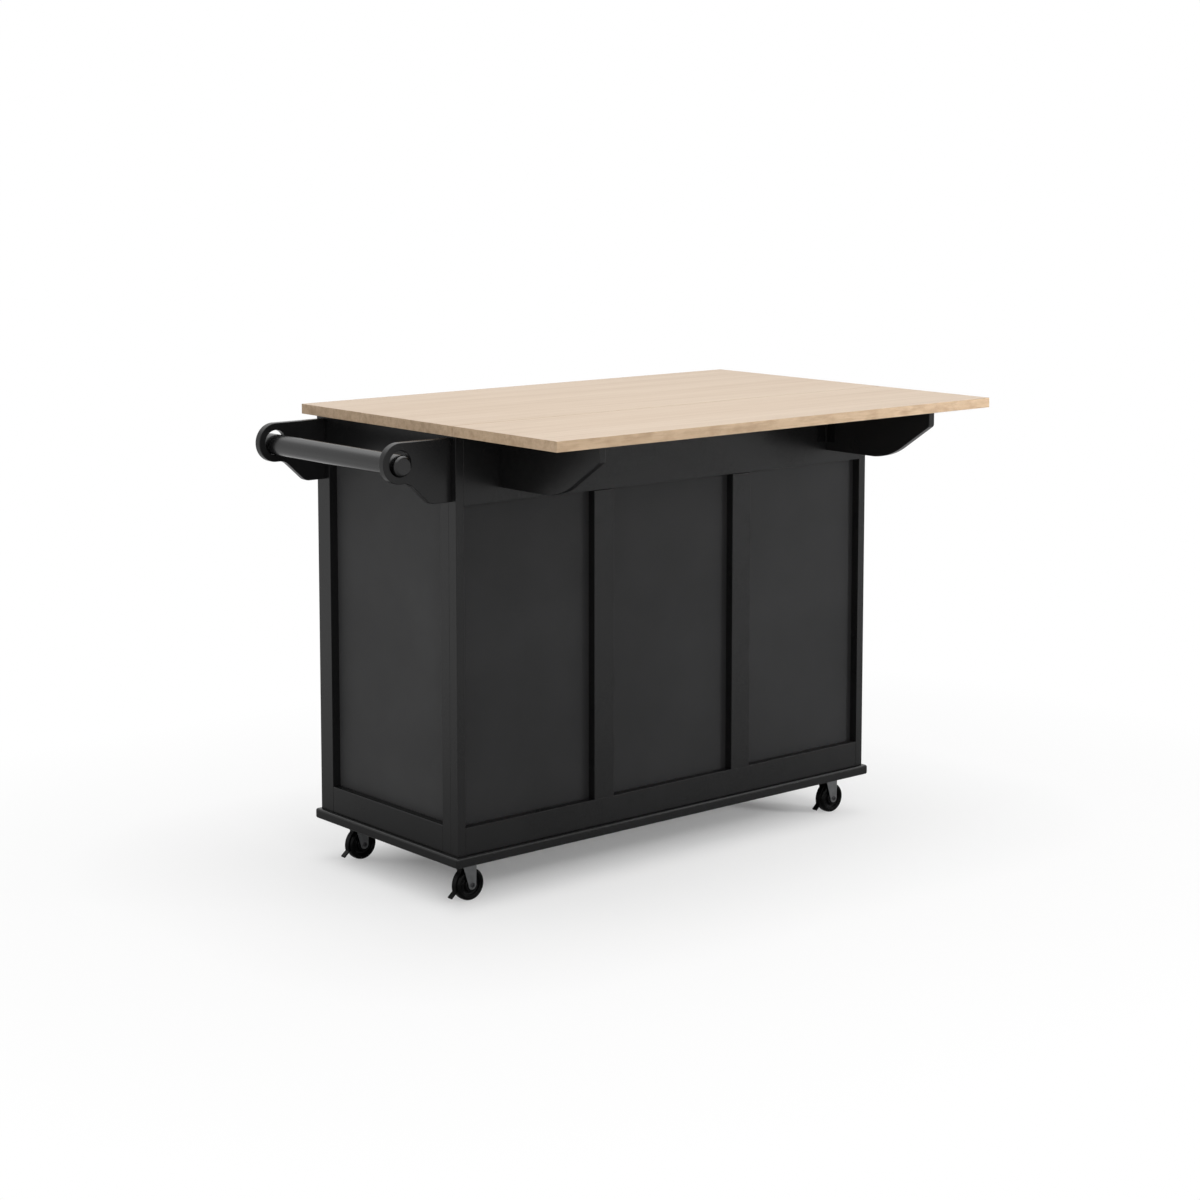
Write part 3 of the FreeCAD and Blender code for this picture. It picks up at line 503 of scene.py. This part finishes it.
def wheel_outline(radius, half):
    """The wheel's outline in metres, from its bore over one face, the tread and the other.

    Each point of side has a share of the radius, a share of the half width, and a finish."""
    bore = axle_bore / radius
    side = [(bore, 1.0, 1), (0.380, 1.0, 1), (0.410, 0.97, 1), (0.425, 0.90, 1),
            (0.450, 0.50, 1), (0.480, 0.42, 1), (0.620, 0.42, 1), (0.645, 0.48, 1),
            (0.665, 0.80, 1), (0.680, 0.87, 1), (0.705, 0.89, 1), (0.722, 0.85, 1),
            (0.730, 0.66, 1), (0.738, 0.66, 0), (0.748, 0.88, 0), (0.765, 0.935, 0),
            (0.800, 0.96, 0), (0.860, 0.955, 0), (0.905, 0.90, 0), (0.945, 0.80, 0),
            (0.975, 0.66, 0), (0.992, 0.48, 0), (1.000, 0.24, 0)]
    near = [(spot * radius, -share * half, finish) for spot, share, finish in side]
    far = [(spot * radius, share * half, finish) for spot, share, finish in reversed(side)]
    return near + far


# %% Finish the casters
corners = ("front_left", "front_right", "back_left", "back_right")
caster_plate_edge, fork_edge, brake_edge = 0.0003, 0.0004, 0.0004
ease("caster_plates", zinc, caster_plate_edge, 1)
for corner in corners:
    ease(f"{corner}_fork", zinc, fork_edge, 2)
    ease(f"{corner}_brake", brake_plastic, brake_edge, 2)
    low, high = (np.array(end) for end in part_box(f"{corner}_wheel"))
    outline = wheel_outline((high[2] - low[2]) / 2, (high[1] - low[1]) / 2)
    mesh = turned_ring(outline, (low + high) / 2)
    mesh.materials.append(tread)
    mesh.materials.append(hub_plastic)
    finished(f"{corner}_tread_and_hub", mesh, f"{corner}_wheel", [f"{corner}_wheel"], 50)
print("wheels", len(corners), "faces each", len(mesh.polygons))

# %% [markdown]
# ## Screws and nuts
# Small fasteners repeat, so one Geometry Nodes tree makes them all. It gets a mesh of loose
# points, each with the direction its head faces, and puts a head on every point. A head is a
# short prism with a sloping rim: sixteen sides and a cross slot make a screw, six sides and
# no slot make a nut. Each one is turned by chance about its own axis, as real ones are.

# %% The shape of one head
# Shares of a head's radius: its rim's top, and a slot's length and width. Shares of its
# height: the rim's own height, the prism's top, and the place of the slot's middle.
rim_top, slot_long, slot_wide = 0.72, 1.1, 0.24
rim_rise, prism_top, slot_middle = 0.4, 0.5, 0.9


def add_shape_node(tree, kind, settings, inputs, output="Geometry"):
    """A Geometry Nodes node whose output is a shape."""
    return add_node(tree, f"GeometryNode{kind}", settings, inputs, output)


def vector_of(tree, **sides):
    """A vector of numbers or links along X, Y and Z."""
    return add_node(tree, "ShaderNodeCombineXYZ", {}, sides)


def head_shape(tree, given):
    """A prism with a sloping rim, cut by a cross slot of the given depth."""
    radius, height, sides = given["Radius"], given["Height"], given["Sides"]
    stem = add_shape_node(tree, "MeshCylinder", {"fill_type": "NGON"},
                          {"Vertices": sides, "Radius": radius, "Depth": height}, "Mesh")
    rim = add_shape_node(tree, "MeshCone", {"fill_type": "NGON"},
                         {"Vertices": sides, "Radius Top": radius * rim_top,
                          "Radius Bottom": radius, "Depth": height * rim_rise}, "Mesh")
    lift = vector_of(tree, Z=height * prism_top)
    rim = add_shape_node(tree, "Transform", {}, {"Geometry": rim, "Translation": lift})
    head = tree.nodes.new("GeometryNodeJoinGeometry")
    for part in (stem, rim):
        tree.links.new(part.socket, head.inputs["Geometry"])
    slots = tree.nodes.new("GeometryNodeJoinGeometry")
    top = vector_of(tree, Z=height * slot_middle)
    for along_x, along_y in ((slot_long, slot_wide), (slot_wide, slot_long)):
        size = vector_of(tree, X=radius * along_x, Y=radius * along_y,
                         Z=given["Slot Depth"] * 2)
        block = add_shape_node(tree, "MeshCube", {}, {"Size": size}, "Mesh")
        block = add_shape_node(tree, "Transform", {}, {"Geometry": block, "Translation": top})
        tree.links.new(block.socket, slots.inputs["Geometry"])
    cut = tree.nodes.new("GeometryNodeMeshBoolean")
    cut.operation = "DIFFERENCE"
    tree.links.new(head.outputs[0], cut.inputs["Mesh 1"])
    tree.links.new(slots.outputs[0], cut.inputs["Mesh 2"])
    return Wire(tree, cut.outputs[0])


# %% The tree that puts a head on every point
def head_turn(tree, given):
    """Each head's rotation: along its point's direction, and turned by chance about it."""
    facing = add_node(tree, "GeometryNodeInputNamedAttribute", {"data_type": "FLOAT_VECTOR"},
                      {"Name": "facing"}, "Attribute")
    aligned = add_node(tree, "FunctionNodeAlignRotationToVector", {"axis": "Z"}, {"Vector": facing})
    spin = add_node(tree, "FunctionNodeRandomValue", {"data_type": "FLOAT"},
                    {2: 0.0, 3: 2 * math.pi, "Seed": given["Seed"]}, 1)
    turn = add_node(tree, "FunctionNodeEulerToRotation", {}, {"Euler": vector_of(tree, Z=spin)})
    return add_node(tree, "FunctionNodeRotateRotation", {"rotation_space": "LOCAL"},
                    {"Rotation": aligned, "Rotate By": turn})


def fastener_tree(finish):
    """A tree that takes points and sizes, and the identifiers of its inputs."""
    tree = bpy.data.node_groups.new(f"{finish.name}_fasteners", "GeometryNodeTree")
    sockets = {}
    for name, kind in (("Points", "Geometry"), ("Sides", "Int"), ("Radius", "Float"),
                       ("Height", "Float"), ("Slot Depth", "Float"), ("Seed", "Int")):
        socket = tree.interface.new_socket(name, in_out="INPUT", socket_type=f"NodeSocket{kind}")
        sockets[name] = socket.identifier
    tree.interface.new_socket("Heads", in_out="OUTPUT", socket_type="NodeSocketGeometry")
    source = tree.nodes.new("NodeGroupInput")
    given = {name: Wire(tree, source.outputs[name]) for name in sockets}
    placing = {"Points": given["Points"], "Instance": head_shape(tree, given),
               "Rotation": head_turn(tree, given)}
    heads = add_shape_node(tree, "InstanceOnPoints", {}, placing, "Instances")
    real = add_shape_node(tree, "RealizeInstances", {}, {"Geometry": heads})
    coated = add_shape_node(tree, "SetMaterial", {}, {"Geometry": real, "Material": finish})
    out = tree.nodes.new("NodeGroupOutput")
    tree.links.new(coated.socket, out.inputs["Heads"])
    return tree, sockets


# %% Put heads on points
def add_fasteners(name, body, spots, kind, seed):
    """One mesh of fastener heads for one body. Each spot is a place and a direction."""
    (group, sockets), sides, radius, height, slot = kind
    mesh = bpy.data.meshes.new(name)
    mesh.from_pydata([place for place, _ in spots], [], [])
    facing = mesh.attributes.new("facing", "FLOAT_VECTOR", "POINT")
    for number, (_, direction) in enumerate(spots):
        facing.data[number].vector = direction
    carrier = bpy.data.objects.new("carrier", mesh)
    bpy.context.collection.objects.link(carrier)
    modifier = carrier.modifiers.new("heads", "NODES")
    modifier.node_group = group
    for socket, given in (("Sides", sides), ("Radius", radius), ("Height", height),
                          ("Slot Depth", slot), ("Seed", seed)):
        modifier[sockets[socket]] = given
    graph = bpy.context.evaluated_depsgraph_get()
    heads = bpy.data.meshes.new_from_object(carrier.evaluated_get(graph))
    carrier.modifiers.clear()
    bpy.data.objects.remove(carrier)
    return finished(name, heads, body, smooth=30)


# Each kind has its tree, its sides, its radius, its height and its slot's depth.
plate_screw = (fastener_tree(zinc), 16, 0.0040, 0.0018, 0.0009)
# The axle nuts take the darker steel, whose darkness is painted shade.
axle_nut = (fastener_tree(axle_painted_shade_steel), 6, 0.0050, 0.0030, 0.0)
black_heads = fastener_tree(hinge_black)
leaf_screw = (black_heads, 16, 0.0027, 0.0009, 0.0005)
wing_screw = (black_heads, 16, 0.0030, 0.0009, 0.0005)

# %% [markdown]
# Each caster plate has four screws up into the base board, and each axle has a head and a
# nut on the outside of its fork.

# %% The casters' fasteners
caster_plate_thick, screw_offset = 0.003, 0.0215
plate_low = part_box("caster_plates")[1][2] - caster_plate_thick
plate_spots = []
for number, corner in enumerate(corners):
    low, high = (np.array(end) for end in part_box(f"{corner}_fork"))
    middle = (low + high) / 2
    for x in (-screw_offset, screw_offset):
        for y in (-screw_offset, screw_offset):
            plate_spots.append(((middle[0] + x, middle[1] + y, plate_low), (0, 0, -1)))
    axle = [(end[0] + end[1]) / 2 for end in zip(*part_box(f"{corner}_wheel"))]
    ends = [((axle[0], high[1], axle[2]), (0, 1, 0)), ((axle[0], low[1], axle[2]), (0, -1, 0))]
    add_fasteners(f"{corner}_axle_nuts", f"{corner}_fork", ends, axle_nut, seed=number)
add_fasteners("caster_plate_screws", "cabinet", plate_spots, plate_screw, seed=11)
print("caster screws", len(plate_spots), "axle nuts", 2 * len(corners))

# %% [markdown]
# The hinges under the leaf and beside its supports have small black screws. The doors'
# hinges are countersunk, because the gap beside a door leaves no room for a head.

# %% The screws under the leaf
knuckle, hinge_plate_thick = 0.003, 0.0012
hinge_half, from_pin, along_pin = 0.030, 0.010, 0.018
low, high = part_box("leaf_hinge_flaps")
pin_y = low[1] + knuckle
under = high[2] - hinge_plate_thick
hinge_middles = (low[0] + hinge_half, (low[0] + high[0]) / 2, high[0] - hinge_half)
screws_x = [x + step for x in hinge_middles for step in (-along_pin, along_pin)]
plate_side = [((x, pin_y - from_pin, under), (0, 0, -1)) for x in screws_x]
flap_side = [((x, pin_y + from_pin, under), (0, 0, -1)) for x in screws_x]
add_fasteners("leaf_plate_screws", "cabinet", plate_side, leaf_screw, seed=21)
add_fasteners("leaf_flap_screws", "leaf", flap_side, leaf_screw, seed=22)
print("leaf screws", len(plate_side) + len(flap_side))

# %% The screws beside the supports
pin_out, from_pin, along_pin = 0.0033, 0.014, 0.024
low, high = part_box("wing_hinge_plates")
middle = (low[2] + high[2]) / 2
face = low[1] + hinge_plate_thick
pins = {"left": low[0] + knuckle, "right": high[0] - knuckle}
wall_spots = []
for side, way in (("left", 1), ("right", -1)):
    for step in (-along_pin, along_pin):
        wall_spots.append(((pins[side] + way * from_pin, face, middle + step), (0, 1, 0)))
    flap_face = pins[side] - way * (pin_out - hinge_plate_thick)
    flap_spots = [((flap_face, low[1] + pin_out + from_pin, middle + step), (way, 0, 0))
                  for step in (-along_pin, along_pin)]
    add_fasteners(f"{side}_wing_flap_screws", f"{side}_wing", flap_spots, wing_screw, seed=31)
add_fasteners("wing_plate_screws", "cabinet", wall_spots, wing_screw, seed=32)
print("support screws", len(wall_spots) + 2 * len(flap_spots))

# %% [markdown]
# ## The studio
# The cart stands on a white floor that runs out of the picture. The floor keeps the soft
# shadow, and it turns pure white further out, so that no horizon shows. In reflections the
# floor gets a painted shade near the cart, which stands for the cart keeping the light off
# it, and this painted shade darkens the black boards towards their feet.

# %% Distances and light paths
def side_of(tree, vector, axis):
    """One side of a vector: 0 for X, 1 for Y and 2 for Z."""
    return add_node(tree, "ShaderNodeSeparateXYZ", {}, {0: vector}, axis)


def distance_outside(tree, low, high):
    """Metres outside the footprint of a box, and less than zero inside it."""
    spot = add_node(tree, "ShaderNodeTexCoord", {}, {}, "Object")
    past = []
    for axis in (0, 1):
        middle, half = (low[axis] + high[axis]) / 2, (high[axis] - low[axis]) / 2
        past.append((side_of(tree, spot, axis) - middle).math("ABSOLUTE") - half)
    beyond = [side.math("MAXIMUM", 0.0) for side in past]
    outside = (beyond[0] * beyond[0] + beyond[1] * beyond[1]).math("SQRT")
    return outside + past[0].math("MAXIMUM", past[1]).math("MINIMUM", 0.0)


def stepped(distance, start, steps):
    """A value that starts at start and gains each step's last number between its first two."""
    total = start
    for low, high, gain in steps:
        total = distance.ramp(low, high) * gain + total
    return total


def light_paths(tree):
    """1 for rays that carry the background to the eye, and 1 for those off a shiny surface."""
    camera_ray = add_node(tree, "ShaderNodeLightPath", {}, {}, "Is Camera Ray")
    gloss = Wire(tree, camera_ray.socket.node.outputs["Is Glossy Ray"])
    through = Wire(tree, camera_ray.socket.node.outputs["Is Transmission Ray"])
    return (camera_ray + gloss + through).clamp(), gloss


def mix_shaders(tree, factor, first, second):
    """A shader between two shaders."""
    mix = tree.nodes.new("ShaderNodeMixShader")
    for index, given in enumerate((factor, first, second)):
        tree.links.new(given.socket, mix.inputs[index])
    return Wire(tree, mix.outputs[0])


# %% The floor
# The share of the floor that glows white, and the share of painted shade that darkens it in
# reflections, each with its value at the cart and its steps by metres from the base board.
glow_at_cart, glow_steps = 0.14, ((-0.15, 0.03, 0.46), (0.03, 0.5, 0.25), (0.4, 1.2, 0.15))
painted_shade_at_cart, painted_shade_steps = 0.70, ((0.1, 0.7, -0.4), (0.7, 2.2, -0.30))


def floor_finish():
    """White paint under a share of glow, and for reflections under a share of painted shade."""
    finish, tree, shader = new_finish("white_floor")
    pale = (0.92, 0.92, 0.92, 1)
    connect(tree, shader, Base_Color=pale, Roughness=0.9, Specular_IOR_Level=0.1)
    away = distance_outside(tree, *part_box("base_board"))
    seen, gloss = light_paths(tree)
    glow = add_node(tree, "ShaderNodeEmission", {}, {"Color": (1, 1, 1, 1), "Strength": 1.0})
    share = seen * stepped(away, glow_at_cart, glow_steps)
    bright = mix_shaders(tree, share, Wire(tree, shader.outputs[0]), glow)
    # A black sheet that reflections see near the cart: painted shade, not a real shadow.
    painted_shade = add_node(tree, "ShaderNodeEmission", {}, {"Strength": 0.0})
    share = gloss * stepped(away, painted_shade_at_cart, painted_shade_steps)
    both = mix_shaders(tree, share, bright, painted_shade)
    tree.links.new(both.socket, tree.nodes["Material Output"].inputs["Surface"])
    return finish


def add_floor(side=14.0):
    mesh = bpy.data.meshes.new("floor")
    corners = [(-side, -side, 0), (side, -side, 0), (side, side, 0), (-side, side, 0)]
    mesh.from_pydata(corners, [], [(0, 1, 2, 3)])
    floor = bpy.data.objects.new("floor", mesh)
    bpy.context.collection.objects.link(floor)
    mesh.materials.append(floor_finish())
    print("floor", 2 * side, "m wide")


add_floor()

# %% [markdown]
# ## The light
# One large soft lamp overhead gives the shadow. A second one fills the long side, and a
# narrow third one reaches the far end. These two are hidden from reflections, because the
# varnished top would show them in views from the front. The white room does the rest. Its
# ceiling shines brighter in reflections alone, which gives level and sloping paint its sheen.

# %% The lamps
def add_lamp(name, spot, target, size, power, mirrored=True, spread=180):
    """A square lamp at spot that faces target. Its spread is the angle of its beam."""
    lamp = bpy.data.objects.new(name, bpy.data.lights.new(name, "AREA"))
    lamp.data.shape = "SQUARE"
    lamp.data.size = size
    lamp.data.energy = power
    lamp.data.spread = math.radians(spread)
    lamp.visible_glossy = mirrored
    lamp.location = spot
    lamp.rotation_euler = (Vector(target) - Vector(spot)).to_track_quat("-Z", "Y").to_euler()
    bpy.context.collection.objects.link(lamp)
    print("lamp", name, power, "W")


add_lamp("overhead", (0.3, 0.3, 3.6), (0, 0, 0.4), 2.4, 37)
add_lamp("long_side_fill", (1.5, 4.0, 2.2), (0, 0.3, 0.7), 2.0, 52, mirrored=False)
add_lamp("far_end_fill", (-2.3, 2.7, 0.95), (-0.62, 0.1, 0.50), 0.6, 3.4, mirrored=False,
         spread=34)

# %% The room
room_light, ceiling_shine = 0.52, 1.8
ceiling_from, ceiling_full = 0.50, 0.72
world = bpy.data.worlds.new("white_room")
bpy.context.scene.world = world
world.use_nodes = True
tree = world.node_tree
tree.nodes.clear()
seen, gloss = light_paths(tree)
direction = add_node(tree, "ShaderNodeTexCoord", {}, {}, "Generated")
ceiling = side_of(tree, direction, 2).ramp(ceiling_from, ceiling_full)
strength = seen * (1 - room_light) + room_light + gloss * ceiling * ceiling_shine
room = add_node(tree, "ShaderNodeBackground", {}, {"Color": (1, 1, 1, 1), "Strength": strength})
out = tree.nodes.new("ShaderNodeOutputWorld")
tree.links.new(room.socket, out.inputs["Surface"])
bpy.context.scene.view_settings.view_transform = "Standard"
print("room", world.name)
